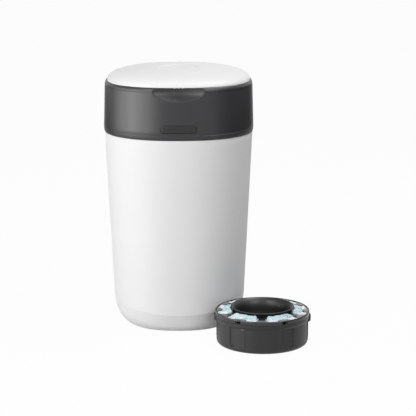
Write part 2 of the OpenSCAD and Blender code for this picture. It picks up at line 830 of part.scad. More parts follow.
// The two rounded side ears, cut to the part of the height between two levels
module ears(z0, z1) {
    intersection() {
        for (s = [0, 180])
            rotate([0, 0, s])
                translate([tub_r - 0.6, 0, ear_z]) rotate([0, 90, 0])
                    cylinder(r = ear_r, h = ear_reach - tub_r + 0.6, $fn = 48);
        translate([-ear_reach - 1, -ear_r - 1, z0]) cube([2 * ear_reach + 2, 2 * ear_r + 2, z1 - z0]);
        difference() {
            cylinder(r = ear_reach + 2, h = cover_top + 9, $fn = 96);
            translate([0, 0, -1]) cylinder(r = tub_r - 1, h = cover_top + 12, $fn = 96);
        }
    }
}

module cartridge_tub() {
    color(charcoal) at_cartridge() difference() {
        union() {
            rotate_extrude($fn = 128) polygon(concat(
                [[core_r - tub_wall, 0]],
                [for (a = [-90 : 22.5 : 0])
                    [tub_r - tub_corner * (1 - cos(a)), tub_corner * (1 + sin(a))]],
                [[tub_r, tub_h - 8],
                 [tub_r + 1.2, tub_h - 6.5],
                 [tub_flange_r - 0.6, tub_h - 6],
                 [tub_flange_r, tub_h - 5],
                 [tub_flange_r, tub_h],
                 [tub_r - tub_wall, tub_h],
                 [tub_r - tub_wall, tub_floor + inner_corner],
                 [tub_r - tub_wall - inner_corner, tub_floor],
                 [core_r, tub_floor],
                 [core_r, tub_h + 3],
                 [core_r - tub_wall, tub_h + 3]]));
            ears(0, tub_h);
            for (g = [0 : 2], s = [-1, 1])
                rotate([0, 0, -90 + 120 * g + 23.5 * s])
                    translate([tub_r - 1, -3, rib_z]) cube([1.6, 6, tub_h - 8.5 - rib_z]);
        }
        for (g = [0 : 2], s = [-1, 1])
            rotate([0, 0, -90 + 120 * g + 40 * s])
                translate([tub_r - 1.1, -3.5, notch_z]) cube([3, 7, tub_h - notch_top - notch_z]);
    }
}

module cartridge_cover() {
    color(charcoal) at_cartridge() difference() {
        union() {
            rotate_extrude($fn = 128) polygon([
                [cover_r - rim_w, cover_z],
                [cover_r - 0.5, cover_z],
                [cover_r, cover_z + 0.8],
                [cover_r, cover_top - 1],
                [cover_r - 0.8, cover_top],
                [cover_r - rim_w, cover_top]]);
            translate([0, 0, cover_top - plate_t - plate_down]) difference() {
                cylinder(r = hub_out, h = plate_t, $fn = 96);
                translate([0, 0, -1]) cylinder(r = hub_in, h = plate_t + 2, $fn = 96);
            }
            for (i = [0 : spokes - 1])
                rotate([0, 0, -90 + 360 * i / spokes])
                    translate([hub_in + 1, -spoke_w / 2, cover_top - plate_t - plate_down])
                        cube([tab_out - hub_in - 1, spoke_w, plate_t]);
            for (i = [0 : tabs - 1])
                rotate([0, 0, -90 + 360 * i / tabs])
                    translate([0, 0, cover_top - plate_t - plate_down])
                        linear_extrude(height = plate_t) polygon([
                            [tab_out - tab_in, -tab_w * 0.3],
                            [tab_out - tab_in / 2, -tab_w / 2],
                            [tab_out - 0.7, -tab_w / 2],
                            [tab_out, 0],
                            [tab_out - 0.7, tab_w / 2],
                            [tab_out - tab_in / 2, tab_w / 2],
                            [tab_out - tab_in, tab_w * 0.3]]);
            ears(tub_h, 2 * tub_h);
        }
        for (a = [-90, 90], s = [-1, 1])
            rotate([0, 0, a + clip_angle * s])
                translate([cover_r - clip_in, -clip_w / 2, cover_z + 1.2])
                    cube([clip_in + 1, clip_w, 3.6]);
    }
}

module cartridge_funnel() {
    skirt = core_r - tub_wall - gap;
    seat = tub_h + 3 + gap;
    color(charcoal) at_cartridge()
        rotate_extrude($fn = 128) polygon([
            [lip_r - 0.4, lip_z],
            [lip_r, lip_z - 0.4],
            [lip_r, lip_z - 1.6],
            [lip_r - 2.2, lip_z - 2.6],
            [lip_r - 3.4, lip_z - 4.4],
            [core_r + 2, lip_z - 6.4],
            [core_r + 1.4, lip_z - 7.4],
            [core_r + 0.4, seat],
            [skirt, seat],
            [skirt, tub_h - 16],
            [skirt - 1.6, tub_h - 16],
            [throat_r + 0.4, tub_h - 10],
            [throat_r + 1, tub_h],
            [throat_r + 3, cover_top],
            [lip_r - 2.8, lip_z - 1.2],
            [lip_r - 1.4, lip_z]]);
}

// The folded film, which swells up a little through each window of the cover
module film_pack() {
    under = cover_top - plate_t - plate_down - gap;
    bulge_in = hub_out + gap;
    bulge_out = tab_out - tab_in - gap;
    window = 360 / spokes - 2 * asin((spoke_w / 2 + 1) / hub_out);
    color(film_blue) at_cartridge() {
        rotate_extrude($fn = 96) polygon([
            [film_in - 2, tub_floor + gap],
            [film_out - inner_corner, tub_floor + gap],
            [film_out, tub_floor + gap + inner_corner],
            [film_out, under - 2.2],
            [film_out - 3, under],
            [film_in + 3, under],
            [film_in - 1, tub_h - 2]]);
        for (i = [0 : spokes - 1])
            rotate([0, 0, -90 + 360 * (i + 0.5) / spokes - window / 2])
                rotate_extrude(angle = window, $fn = 96) polygon([
                    [bulge_in, under - 1],
                    [bulge_out, under - 1],
                    [bulge_out, under + 1],
                    [bulge_out - 4, under + film_swell * 0.8],
                    [bulge_in + 3, under + film_swell],
                    [bulge_in, under + film_swell * 0.8]]);
    }
}

bucket();
base_pads();
unit_hinge_lugs();
unit_hinge_pin();
latch_keeper();
collar();
unit_hinge_knuckles();
deck();
deck_screws();
ring_retainer();
retainer_screws();
click_spring();
button_bracket();
lid_hinge_lugs();
lid_hinge_pin();
cutter_pin();
twist_ring();
release_button();
button_springs();
lid_shell();
lid_hinge_arms();
lid_liner();
lid_seal();
liner_screws();
cutter_arm();
cutter_blade();
cartridge_tub();
cartridge_cover();
cartridge_funnel();
film_pack();
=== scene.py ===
# %% [markdown]
# # A nappy bin and its refill cartridge
# The bin has three moulded shells: a white bucket, a charcoal upper unit that hinges back, and a
# white domed lid. A refill cartridge, a ring-shaped tub packed with thin film, stands beside it.
# The solid model gives every size and every joint. Here the shells are made again with softer
# edges, finer curves and the small details of real mouldings, and each surface gets its finish.
# The solid model is loaded first, because each new piece rides on one of its bodies.

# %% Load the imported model
from math import asin, atan2, copysign, cos, degrees, hypot, pi, radians, sin

import bmesh
import bpy
from mathutils import Matrix, Vector, noise


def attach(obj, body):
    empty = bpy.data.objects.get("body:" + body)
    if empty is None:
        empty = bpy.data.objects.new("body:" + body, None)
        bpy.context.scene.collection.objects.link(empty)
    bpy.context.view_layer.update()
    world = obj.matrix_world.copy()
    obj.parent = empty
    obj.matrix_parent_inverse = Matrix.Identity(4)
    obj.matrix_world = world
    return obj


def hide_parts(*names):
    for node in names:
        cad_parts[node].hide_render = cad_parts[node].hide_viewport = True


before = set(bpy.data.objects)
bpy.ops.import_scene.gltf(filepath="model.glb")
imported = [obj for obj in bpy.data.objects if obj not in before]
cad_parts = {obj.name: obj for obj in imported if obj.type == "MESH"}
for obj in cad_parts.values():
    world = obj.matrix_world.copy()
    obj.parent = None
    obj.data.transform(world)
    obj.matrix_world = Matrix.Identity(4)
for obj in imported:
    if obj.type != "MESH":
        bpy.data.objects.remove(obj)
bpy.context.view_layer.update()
scene = bpy.context.scene

# %% [markdown]
# Every length below is written in millimetres, as on a drawing, and one function turns it into
# the metres that Blender's scene uses. Colours are written as the hex codes of a colour picker,
# which are sRGB, so one function turns them into the linear values that shaders need.

# %% Units and colours
MM = 0.001


def metres(x, y, z):
    """A point given in millimetres."""
    return Vector((x, y, z)) * MM


def from_hex(code):
    """An sRGB hex colour as linear red, green, blue and alpha."""
    parts = [int(code[i:i + 2], 16) / 255 for i in (1, 3, 5)]
    linear = [c / 12.92 if c <= 0.04045 else ((c + 0.055) / 1.055) ** 2.4 for c in parts]
    return (*linear, 1.0)


print("mid grey is", round(from_hex("#808080")[0], 3), "in linear light")

# %% [markdown]
# ## Camera
# The bin was photographed from well in front with a long lens, a little above its top, so its
# sides stay almost parallel and the lid shows as a thin slice. A long focal length from almost
# three metres away gives the same flat perspective.

# %% Camera
CAMERA_PLACE = (0, -2735, 787)
CAMERA_PITCH, CAMERA_YAW = 12.17, 1.05
LENS_MM, SENSOR_MM = 139.6, 36

camera = bpy.data.objects.new("camera", bpy.data.cameras.new("camera"))
camera.data.lens = LENS_MM
camera.data.sensor_width = SENSOR_MM
camera.location = metres(*CAMERA_PLACE)
camera.rotation_euler = (radians(90 - CAMERA_PITCH), 0, radians(-CAMERA_YAW))
scene.collection.objects.link(camera)
scene.camera = camera
print("camera looks down by", CAMERA_PITCH, "degrees")

# %% [markdown]
# ## Materials
# A shader is a small graph. One helper adds a node, sets its values and joins its inputs, so
# that each finish below reads as a short recipe.

# %% A helper for shader nodes


def add(tree, kind, settings=None, links=None):
    """Adds one node, sets its options and socket values, and links its inputs."""
    node = tree.nodes.new(kind)
    for key, value in (settings or {}).items():
        if isinstance(key, str) and hasattr(node, key):
            setattr(node, key, value)
        else:
            node.inputs[key].default_value = value
    for socket, source in (links or {}).items():
        tree.links.new(source, node.inputs[socket])
    return node


def new_material(name):
    """A material with an empty graph, and that graph."""
    material = bpy.data.materials.new(name)
    material.use_nodes = True
    material.node_tree.nodes.clear()
    return material, material.node_tree


# %% [markdown]
# Almost the whole bin is injection moulded plastic. Its mould was spark eroded, which leaves a
# fine pebbled grain that scatters the light, and the plastic flows in slowly, which leaves a very
# faint clouding of tone. The real grain is about 0.2 mm and too fine for the picture, so it is
# drawn a few times coarser and very shallow. What tells the plastics apart is their gloss: the
# white polypropylene is matt, the charcoal ABS is satin, the acetal of the twist ring is smoother,
# and the rubber of the seal and pads hardly shines at all.

# %% Moulded plastic
CLOUD_MM, GLOSS_SPREAD = 90, 0.04


def moulded_plastic(name, colour, cloud, roughness, grain_mm, depth_mm, ior=1.49):
    """A plastic with a fine pebbled grain and a faint clouding between two tones."""
    material, tree = new_material(name)
    place = add(tree, "ShaderNodeTexCoord").outputs["Object"]
    clouds = add(tree, "ShaderNodeTexNoise",
                 {"Scale": 1 / (CLOUD_MM * MM), "Detail": 3.0, "Roughness": 0.5}, {"Vector": place})
    tone = add(tree, "ShaderNodeMix", {"data_type": "RGBA", 6: from_hex(colour), 7: from_hex(cloud)},
               {0: clouds.outputs["Fac"]})
    grain = add(tree, "ShaderNodeTexNoise",
                {"Scale": 1 / (grain_mm * MM), "Detail": 2.0, "Roughness": 0.6}, {"Vector": place})
    satin = add(tree, "ShaderNodeMapRange",
                {"From Min": 0.3, "From Max": 0.7, "To Min": roughness - GLOSS_SPREAD,
                 "To Max": roughness + GLOSS_SPREAD}, {"Value": grain.outputs["Fac"]})
    bump = add(tree, "ShaderNodeBump", {"Strength": 0.5, "Distance": depth_mm * MM},
               {"Height": grain.outputs["Fac"]})
    surface = add(tree, "ShaderNodeBsdfPrincipled", {"IOR": ior},
                  {"Base Color": tone.outputs[2], "Roughness": satin.outputs["Result"],
                   "Normal": bump.outputs["Normal"]})
    add(tree, "ShaderNodeOutputMaterial", links={"Surface": surface.outputs["BSDF"]})
    return material


white_shell = moulded_plastic("white moulded polypropylene", "#dedede", "#e1e1e1", 0.66, 0.9, 0.008)
white_lid = moulded_plastic("white satin lid plastic", "#e2e2e2", "#e5e5e5", 0.5, 0.9, 0.006)
charcoal_shell = moulded_plastic("charcoal satin ABS", "#151518", "#19191c", 0.40, 0.8, 0.006, 1.55)
charcoal_plate = moulded_plastic("smooth charcoal ABS", "#131315", "#171719", 0.34, 0.7, 0.004, 1.49)
charcoal_tub = moulded_plastic("charcoal tub polypropylene", "#151517", "#19191b", 0.42, 0.8, 0.006)
cover_plastic = moulded_plastic("glossy charcoal cover", "#2a2a2d", "#2f2f32", 0.19, 0.8, 0.004)
# The tabs' paler grey is painted sheen: it stands in for the white surround that their flat tops mirror.
tabs_grey_painted_sheen = moulded_plastic("tab plastic with painted sheen", "#737377", "#7a7a7e", 0.3, 0.8, 0.004)
dark_parts = moulded_plastic("dark inner plastic", "#2f2f32", "#343437", 0.45, 0.8, 0.014)
ring_plastic = moulded_plastic("slippery acetal ring", "#3c3c40", "#424246", 0.30, 0.8, 0.008, 1.48)
seal_rubber = moulded_plastic("matt seal rubber", "#232325", "#29292b", 0.68, 0.6, 0.02, 1.52)
print("plastics:", len(bpy.data.materials))

# %% [markdown]
# The pins, screws, springs and the cutter's blade are steel. Rolled and ground steel shows fine
# lines, and its reflections are a little blurred, so the lines only vary the roughness.

# %% Steel
LINE_LONG_MM, LINE_STRETCH = 6, 12
steel_finish, tree = new_material("ground steel")
place = add(tree, "ShaderNodeTexCoord").outputs["Object"]
along = add(tree, "ShaderNodeMapping", {"Scale": (1, LINE_STRETCH, LINE_STRETCH)}, {"Vector": place})
lines = add(tree, "ShaderNodeTexNoise", {"Scale": 1 / (LINE_LONG_MM * MM), "Detail": 3.0},
            {"Vector": along.outputs["Vector"]})
blur = add(tree, "ShaderNodeMapRange", {"To Min": 0.22, "To Max": 0.42},
           {"Value": lines.outputs["Fac"]})
metal = add(tree, "ShaderNodeBsdfPrincipled", {"Base Color": from_hex("#b9babd"), "Metallic": 1.0},
            {"Roughness": blur.outputs["Result"]})
add(tree, "ShaderNodeOutputMaterial", links={"Surface": metal.outputs["BSDF"]})
print("steel lines are", LINE_LONG_MM / LINE_STRETCH, "mm apart")

# %% [markdown]
# The film is thin milky polyethylene, bunched into the tub. Each fold is a little bluer where
# several layers lie together, and it is painted dark as shade in the pockets under the tabs, so its
# colour follows an attribute that is painted on the mesh when the folds are made. Its skin is
# glossy and finely creased.

# %% Film finish
CREASE_MM = 5
film_finish, tree = new_material("bunched polyethylene film")
place = add(tree, "ShaderNodeTexCoord").outputs["Object"]
layers = add(tree, "ShaderNodeAttribute", {"attribute_name": "tint"})
creases = add(tree, "ShaderNodeTexNoise", {"Scale": 1 / (CREASE_MM * MM), "Detail": 4.0, "Distortion": 0.6},
              {"Vector": place})
bump = add(tree, "ShaderNodeBump", {"Strength": 0.6, "Distance": 0.5 * MM},
           {"Height": creases.outputs["Fac"]})
gloss = add(tree, "ShaderNodeMapRange", {"To Min": 0.18, "To Max": 0.4},
            {"Value": creases.outputs["Fac"]})
skin = add(tree, "ShaderNodeBsdfPrincipled", {"IOR": 1.51, "Subsurface Weight": 0.15,
                                              "Subsurface Scale": 1.5 * MM},
           {"Base Color": layers.outputs["Color"], "Roughness": gloss.outputs["Result"],
            "Normal": bump.outputs["Normal"]})
add(tree, "ShaderNodeOutputMaterial", links={"Surface": skin.outputs["BSDF"]})
print("creases are about", CREASE_MM, "mm apart")

# %% [markdown]
# ## Shapes
# Seen from above, the bin is neither round nor square. Its outline is a superellipse: a circle
# whose power is raised from 2, so that its sides grow flatter and its corners fuller. Each shell
# is pulled up from one hoop of edges. Every corner of the hoop remembers its turn round the
# outline in a mesh layer, so each new hoop can be put exactly on the outline for its height.

# %% The outline of the bin


def bent(value, power):
    """A power that keeps its sign."""
    return copysign(abs(value) ** power, value)


def outline(half, power, turn):
    """The place on the outline, in millimetres, at one turn."""
    return half * bent(cos(turn), 2 / power), half * bent(sin(turn), 2 / power)


def hoop_at(half, power, z):
    """A hoop of that half width at one height, as a function of the turn."""
    return lambda turn: metres(*outline(half, power, turn), z)


def even_turns(count):
    """Turns spaced evenly all the way round."""
    return [2 * pi * i / count for i in range(count)]


def front_turns(half, power, reach, step, rest):
    """Turns that lie close together across the front and wider apart round the back."""
    count = round(2 * reach / step)
    front = [-reach + 2 * reach * i / count for i in range(count + 1)]
    near = [-pi / 2 + asin(bent(x / half, power / 2)) for x in front]
    gap = (near[0] + 2 * pi - near[-1]) / rest
    return near + [near[-1] + gap * i for i in range(1, rest)]


# %% [markdown]
# A shell starts as a circle of edges. Each step extrudes that hoop and sets the new one in its
# place, up the outside, over the rim and down the inside, and the ends are then capped or joined.
# Edges are kept in lists, because the order of a Python set can change from one run to the next,
# and with it the order of the faces.

# %% Pulling a shell from a hoop


def each_once(items):
    """The items in the order in which they come, without repeats."""
    return list(dict.fromkeys(items))


def edges_at(corners):
    """The edges that meet some corners."""
    return each_once(e for v in corners for e in v.link_edges)


def pull_hoop(bm, edges, turn_of, hoop):
    """Extrudes a hoop of edges and sets the new corners on the next hoop."""
    made = bmesh.ops.extrude_edge_only(bm, edges=edges)["geom"]
    corners = {v for v in made if isinstance(v, bmesh.types.BMVert)}
    for corner in corners:
        corner.co = hoop(corner[turn_of])
    return [e for e in made if isinstance(e, bmesh.types.BMEdge) and corners.issuperset(e.verts)]


def shell_from_hoops(turns, hoops, closed=False):
    """A closed skin through the hoops: joined end to end, or capped at both ends."""
    bm = bmesh.new()
    turn_of = bm.verts.layers.float.new("turn")
    first = bmesh.ops.create_circle(bm, segments=len(turns), radius=1)["verts"]
    for corner, turn in zip(first, turns):
        corner[turn_of] = turn
        corner.co = hoops[0](turn)
    start = edges_at(first)
    edges = start
    for hoop in hoops[1:]:
        edges = pull_hoop(bm, edges, turn_of, hoop)
    if closed:
        bmesh.ops.bridge_loops(bm, edges=start + edges)
    else:
        bmesh.ops.edgeloop_fill(bm, edges=start)
        bmesh.ops.edgeloop_fill(bm, edges=edges)
    bmesh.ops.recalc_face_normals(bm, faces=bm.faces)
    return bm


CRISP = 32


def make_piece(name, bm, material, crisp=CRISP):
    """Turns a mesh into an object, smooth but for edges sharper than crisp degrees."""
    mesh = bpy.data.meshes.new(name)
    bm.to_mesh(mesh)
    bm.free()
    mesh.shade_smooth()
    mesh.set_sharp_from_angle(angle=radians(crisp))
    mesh.materials.append(material)
    piece = bpy.data.objects.new(name, mesh)
    scene.collection.objects.link(piece)
    return piece


def join_frame(piece, body, slot, *nodes):
    """The piece rides on a body and stands for CAD nodes, which it hides; slot is not used."""
    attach(piece, body)
    if nodes:
        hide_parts(*nodes)
    size = [round(d / MM, 1) for d in piece.dimensions]
    print(piece.name, "measures", size, "mm with", len(piece.data.polygons), "faces")


def carve(piece, cutter):
    """Cuts the cutter's shape out of a piece, applies the cut and removes the cutter."""
    cut = piece.modifiers.new("cut", "BOOLEAN")
    cut.object, cut.operation, cut.solver = cutter, "DIFFERENCE", "EXACT"
    bpy.context.view_layer.update()
    shape = piece.evaluated_get(bpy.context.evaluated_depsgraph_get())
    mesh = bpy.data.meshes.new_from_object(shape)
    piece.modifiers.clear()
    piece.data = mesh
    mesh.set_sharp_from_angle(angle=radians(CRISP))
    bpy.data.objects.remove(cutter)
    return piece


# %% [markdown]
# ## The bucket
# The bucket leans out a little as it rises. Near the floor it turns in over a rounded foot, and
# the fold between side and foot stands higher at the left and right than in front, so it shows
# as a gentle smile. The foot's hoops follow that fold, closer together at the bend. Under the
# fold runs a straight band that turns in at once, most of all in front and behind, so the fold
# shows as a step in tone.

# %% Bucket sizes
BUCKET_HALF, BUCKET_TOP, LEAN = 126.2, 336.7, 0.0473
FOOT_HALF, FOOT_HOLLOW, FOOT_POWER, BODY_POWER = 77.0, 2.0, 2.37, 2.3
FOLD_Z, FOLD_RISE, FOLD_TURN, FRONT_TURN = 35, 14, 7.2, 7.5
NECK_HALF, NECK_IN, NECK_TOP = 122.3, 119.7, 347.5
WALL, FLOOR, EDGE, PAD_GAP = 2.6, 3.0, 0.8, 0.2


def side_half(z):
    """Half width of the bucket's side at one height."""
    return BUCKET_HALF - (BUCKET_TOP - z) * LEAN


def foot_hoop(down, inset=0.0, floor=0.0):
    """A hoop of the foot: down is 0 at the fold and 1 at the floor."""
    def place(turn):
        fold = FOLD_Z + FOLD_RISE * abs(cos(turn)) ** (4 / FOOT_POWER)
        curve = (side_half(fold) - FOOT_HALF) * (1 - (1 - down * down) ** 0.5)
        band = (FOLD_TURN + FRONT_TURN * sin(turn) ** 4) * down
        half = side_half(fold) - inset - max(curve + FOOT_HOLLOW * down * (1 - down), band)
        return metres(*outline(half, FOOT_POWER, turn), floor + (fold - floor) * (1 - down))
    return place


def side_hoop(up, inset=0.0):
    """A hoop of the side: up is 0 at the fold and 1 at the shoulder."""
    low = foot_hoop(0, inset)
    high = hoop_at(BUCKET_HALF - inset, BODY_POWER, BUCKET_TOP - EDGE)
    return lambda turn: low(turn).lerp(high(turn), up)


# %% Bucket
foot = [foot_hoop(sin(radians(a))) for a in (90, 84, 78, 70, 62, 54, 46, 38, 30, 22, 15, 9, 4, 1.2)]
side = [side_hoop(u) for u in (0.0, 0.003, 0.02, 0.06, 0.12, 0.25, 0.4, 0.55, 0.7, 0.85, 0.97, 1.0)]
neck = [hoop_at(*h) for h in (
    (BUCKET_HALF - 0.2, BODY_POWER, BUCKET_TOP - 0.25),
    (BUCKET_HALF - EDGE, BODY_POWER, BUCKET_TOP),
    (NECK_HALF + 0.5, BODY_POWER, BUCKET_TOP),
    (NECK_HALF, BODY_POWER, BUCKET_TOP + 0.5),
    (NECK_HALF, BODY_POWER, NECK_TOP - EDGE),
    (NECK_HALF - EDGE, BODY_POWER, NECK_TOP),
    (NECK_IN + EDGE, BODY_POWER, NECK_TOP),
    (NECK_IN, BODY_POWER, NECK_TOP - EDGE),
    (NECK_IN, BODY_POWER, BUCKET_TOP - 6),
    (BUCKET_HALF - WALL - 0.7, BODY_POWER, BUCKET_TOP - 14))]
inside = [side_hoop(u, WALL) for u in (0.85, 0.6, 0.35, 0.12)]
floor = [foot_hoop(sin(radians(a)), WALL, FLOOR) for a in (2, 8, 18, 30, 44, 58, 72, 82, 90)]
bucket = make_piece("bucket_shell", shell_from_hoops(even_turns(240), foot + side + neck + inside + floor),
                    white_shell)

# %% [markdown]
# Four shallow pockets under the foot hold the anti-slip pads, and they are cut with plain discs.

# %% Pad pockets
PAD_AT, PAD_R, PAD_T = 47, 9, 1.4
bm = bmesh.new()
for x in (-PAD_AT, PAD_AT):
    for y in (-PAD_AT, PAD_AT):
        bmesh.ops.create_cone(bm, cap_ends=True, segments=48, radius1=(PAD_R + PAD_GAP) * MM,
                              radius2=(PAD_R + PAD_GAP) * MM, depth=2 * PAD_T * MM,
                              matrix=Matrix.Translation(metres(x, y, 0)))
carve(bucket, make_piece("pad_pockets", bm, white_shell))
join_frame(bucket, "bucket_body", "white_plastic", "bucket")

# %% [markdown]
# ## The collar
# The collar is the charcoal shell of the upper unit. Its lowest 8 mm turn in slightly under a
# fine ledge, its side rises almost straight, and a rounded shoulder leads in under the lid. The
# finger scoop is pressed into its front like a thumb into clay: where the outer skin would lie in
# front of a shallow bowl, it is pushed back to the bowl's wall. A smooth maximum of the two rounds
# the lip between them. Beside the bowl its wall runs steeply forward, out of the skin's way.

# %% Collar sizes
COLLAR_HALF, COLLAR_LOW, COLLAR_TOP = 128.0, 337.0, 423.0
SHOULDER_HALF, SHOULDER_H, SHOULDER_IN, LID_POWER = 125.8, 7.7, 4.5, 2.46
SKIRT_HALF, SKIRT_POWER, SKIRT_LOW = 112.5, 2.4, 396.6
COLLAR_IN, WALL_HALF = 125.5, 127.7
SCOOP = {"z": 418.4, "x_half": 44.2, "depth": 11.8, "z_half": 17.8, "lip": 0.9, "before": 0.5,
         "reach": 1.5, "steep": 60}


def front_y(half, x):
    """How far forward the outline reaches at a place x beside the middle."""
    return -half * (1 - abs(x / half) ** BODY_POWER) ** (1 / BODY_POWER)


def smooth_max(a, b, round_off):
    """The larger of two values, with the change from one to the other rounded."""
    near = max(round_off - abs(a - b), 0) / round_off
    return max(a, b) + near * near * round_off / 4


def scooped(point):
    """A point of the outer skin, in metres, pushed back where the finger scoop lies."""
    x, y, z = point / MM
    far = (x / SCOOP["x_half"]) ** 2 + ((z - SCOOP["z"]) / SCOOP["z_half"]) ** 2
    if y > 0 or far > SCOOP["reach"]:
        return point
    depth = (SCOOP["depth"] if far < 1 else SCOOP["steep"]) * (1 - far)
    return metres(x, smooth_max(y, front_y(SHOULDER_HALF, x) - SCOOP["before"] + depth, SCOOP["lip"]), z)


# %% Collar hoops


def skin_hoop(half, power, z):
    """A hoop of the collar's outer skin, with the scoop pressed into it."""
    plain = hoop_at(half, power, z)
    return lambda turn: scooped(plain(turn))


def rim_hoop(across):
    """A hoop of the flat top: across is 0 at the shoulder's edge and 1 at the skirt."""
    outer = skin_hoop(SHOULDER_HALF - SHOULDER_IN, LID_POWER, COLLAR_TOP)
    inner = hoop_at(SKIRT_HALF, SKIRT_POWER, COLLAR_TOP)
    return lambda turn: outer(turn).lerp(inner(turn), across)


foot_band = [skin_hoop(h, BODY_POWER, COLLAR_LOW + up) for h, up in (
    (126.3, 0.05), (126.7, 0), (127.0, 0.3), (127.3, 2), (127.65, 4.5), (127.85, 7), (127.85, 7.7),
    (127.55, 8), (127.55, 8.8))]
WALL_LOW, SCOOP_LOW, SHOULDER_Z = 346.5, 396.0, COLLAR_TOP - SHOULDER_H
wall_heights = [WALL_LOW, 352, 358, 364, 370, 376, 382, 388, 392] + \
    [SCOOP_LOW + (SHOULDER_Z - SCOOP_LOW) * i / 25 for i in range(25)]
lean = (WALL_HALF - SHOULDER_HALF) / (SHOULDER_Z - WALL_LOW)
wall = [skin_hoop(WALL_HALF - (z - WALL_LOW) * lean, BODY_POWER, z) for z in wall_heights]
shoulder = [skin_hoop(SHOULDER_HALF - SHOULDER_IN * (1 - cos(radians(a))),
                      BODY_POWER + (LID_POWER - BODY_POWER) * a / 90,
                      COLLAR_TOP - SHOULDER_H * (1 - sin(radians(a)))) for a in range(0, 90, 6)]
rim = [rim_hoop(a) for a in (0, 0.08, 0.35, 0.7, 0.92)]
skirt = [hoop_at(SKIRT_HALF, SKIRT_POWER, z) for z in (COLLAR_TOP - 0.8, 410, SKIRT_LOW)]
inner_wall = [hoop_at(h, BODY_POWER, z) for h, z in (
    (COLLAR_IN - 1.8, SKIRT_LOW), (COLLAR_IN, COLLAR_LOW + 5), (COLLAR_IN - 2, COLLAR_LOW + 3),
    (COLLAR_IN - 2, COLLAR_LOW + 0.4), (COLLAR_IN - 1.6, COLLAR_LOW + 0.05))]
turns = front_turns(COLLAR_HALF, BODY_POWER, reach=49.4, step=0.95, rest=150)
collar = make_piece("collar_shell", shell_from_hoops(
    turns, foot_band + wall + shoulder + rim + skirt + inner_wall, closed=True), charcoal_shell)
print("collar corners:", len(collar.data.vertices))

# %% [markdown]
# The release plate sits in a window low on the collar's front. The window's outline is a
# rectangle with round corners that bends with the front. It begins as a small circle whose
# quarters are drawn apart to the four corners, and its long edges are divided so that they can
# bend. Offsetting it outwards near the skin gives the window a soft chamfer.

# %% The plate's outline
PLATE_W, PLATE_H, PLATE_CORNER, PLATE_Z = 59.4, 13.0, 4.5, 355.5
PLATE_SUNK, PLATE_T, FIT = 1.0, 2.6, 0.3


def plate_stack(layers):
    """A closed skin through offsets of the plate's outline: each layer is grow, half width
    of the front that it follows, and shift along Y."""
    bm = bmesh.new()
    reach_x, reach_z = PLATE_W / 2 - PLATE_CORNER, PLATE_H / 2 - PLATE_CORNER
    loop = bmesh.ops.create_circle(bm, segments=40, radius=PLATE_CORNER,
                                   matrix=Matrix.Rotation(pi / 40, 4, "Z"))["verts"]
    for v in loop:
        v.co = (v.co.x + copysign(reach_x, v.co.x), 0, v.co.y + copysign(reach_z, v.co.y))
    long_edges = [e for e in bm.edges if e.calc_length() > 20]
    bmesh.ops.subdivide_edges(bm, edges=long_edges, cuts=24)
    flat_x, flat_z = bm.verts.layers.float.new("flat_x"), bm.verts.layers.float.new("flat_z")
    for v in bm.verts:
        v[flat_x], v[flat_z] = v.co.x, v.co.z

    def place(v, grow, half, shift):
        x, z = v[flat_x], v[flat_z]
        core_x, core_z = max(-reach_x, min(reach_x, x)), max(-reach_z, min(reach_z, z))
        scale = (PLATE_CORNER + grow) / PLATE_CORNER
        new_x, new_z = core_x + (x - core_x) * scale, core_z + (z - core_z) * scale
        return metres(new_x, front_y(half, new_x) + shift, PLATE_Z + new_z)

    start = edges = list(bm.edges)
    for v in bm.verts:
        v.co = place(v, *layers[0])
    for layer in layers[1:]:
        made = bmesh.ops.extrude_edge_only(bm, edges=edges)["geom"]
        corners = {v for v in made if isinstance(v, bmesh.types.BMVert)}
        for v in corners:
            v.co = place(v, *layer)
        edges = [e for e in made if isinstance(e, bmesh.types.BMEdge) and corners.issuperset(e.verts)]
    for rim in (start, edges):
        bmesh.ops.triangle_fill(bm, edges=rim, use_beauty=True)
    bmesh.ops.recalc_face_normals(bm, faces=bm.faces)
    return bm


# %% [markdown]
# The same outline makes the window's cutter, which widens towards the skin, and then the plate,
# whose edge is rounded in small steps. Behind the plate a shelf carries the hook of the latch.

# %% Window in the collar
window = plate_stack([(FIT, COLLAR_HALF, 8.0), (FIT, COLLAR_HALF, 0.7), (FIT + 0.3, COLLAR_HALF, 0.3),
                      (FIT + 0.9, COLLAR_HALF, -0.6)])
carve(collar, make_piece("window_cutter", window, charcoal_shell))
join_frame(collar, "upper_unit", "charcoal_plastic", "collar")

# %% Release plate and its latch
face_half = COLLAR_HALF - PLATE_SUNK
plate = plate_stack([(-0.4, face_half, PLATE_T), (0, face_half, PLATE_T - 0.4), (0, face_half, 0.7),
                     (-0.1, face_half, 0.32), (-0.32, face_half, 0.1), (-0.7, face_half, 0.0),
                     (-2.0, face_half, 0.0), (-3.4, face_half, 0.0), (-4.4, face_half, 0.0)])
HOOK_HALF, HOOK_Y, HOOK_T, HOOK_LOW, OVERLAP = 10, -115.0, 2.4, 337.2, 0.6
shelf_z, back_y = PLATE_Z - PLATE_H / 2 + 2.2, HOOK_Y + HOOK_T
shelf_y = -face_half + PLATE_T - OVERLAP
shelf = metres(-HOOK_HALF, shelf_y, shelf_z), metres(HOOK_HALF, back_y, shelf_z + HOOK_T)
hook = metres(-HOOK_HALF, HOOK_Y, HOOK_LOW), metres(HOOK_HALF, back_y, shelf_z + 0.4)
for low, high in (shelf, hook):
    bar = bmesh.ops.create_cube(plate, size=1, matrix=Matrix.Translation((low + high) / 2)
                                @ Matrix.Diagonal((*(high - low), 1)))["verts"]
    bmesh.ops.bevel(plate, geom=edges_at(bar), offset=0.35 * MM, segments=2, profile=0.5, material=-1,
                    affect="EDGES")
plate_piece = make_piece("release_plate", plate, charcoal_plate)
join_frame(plate_piece, "button", "charcoal_plastic", "release_button")

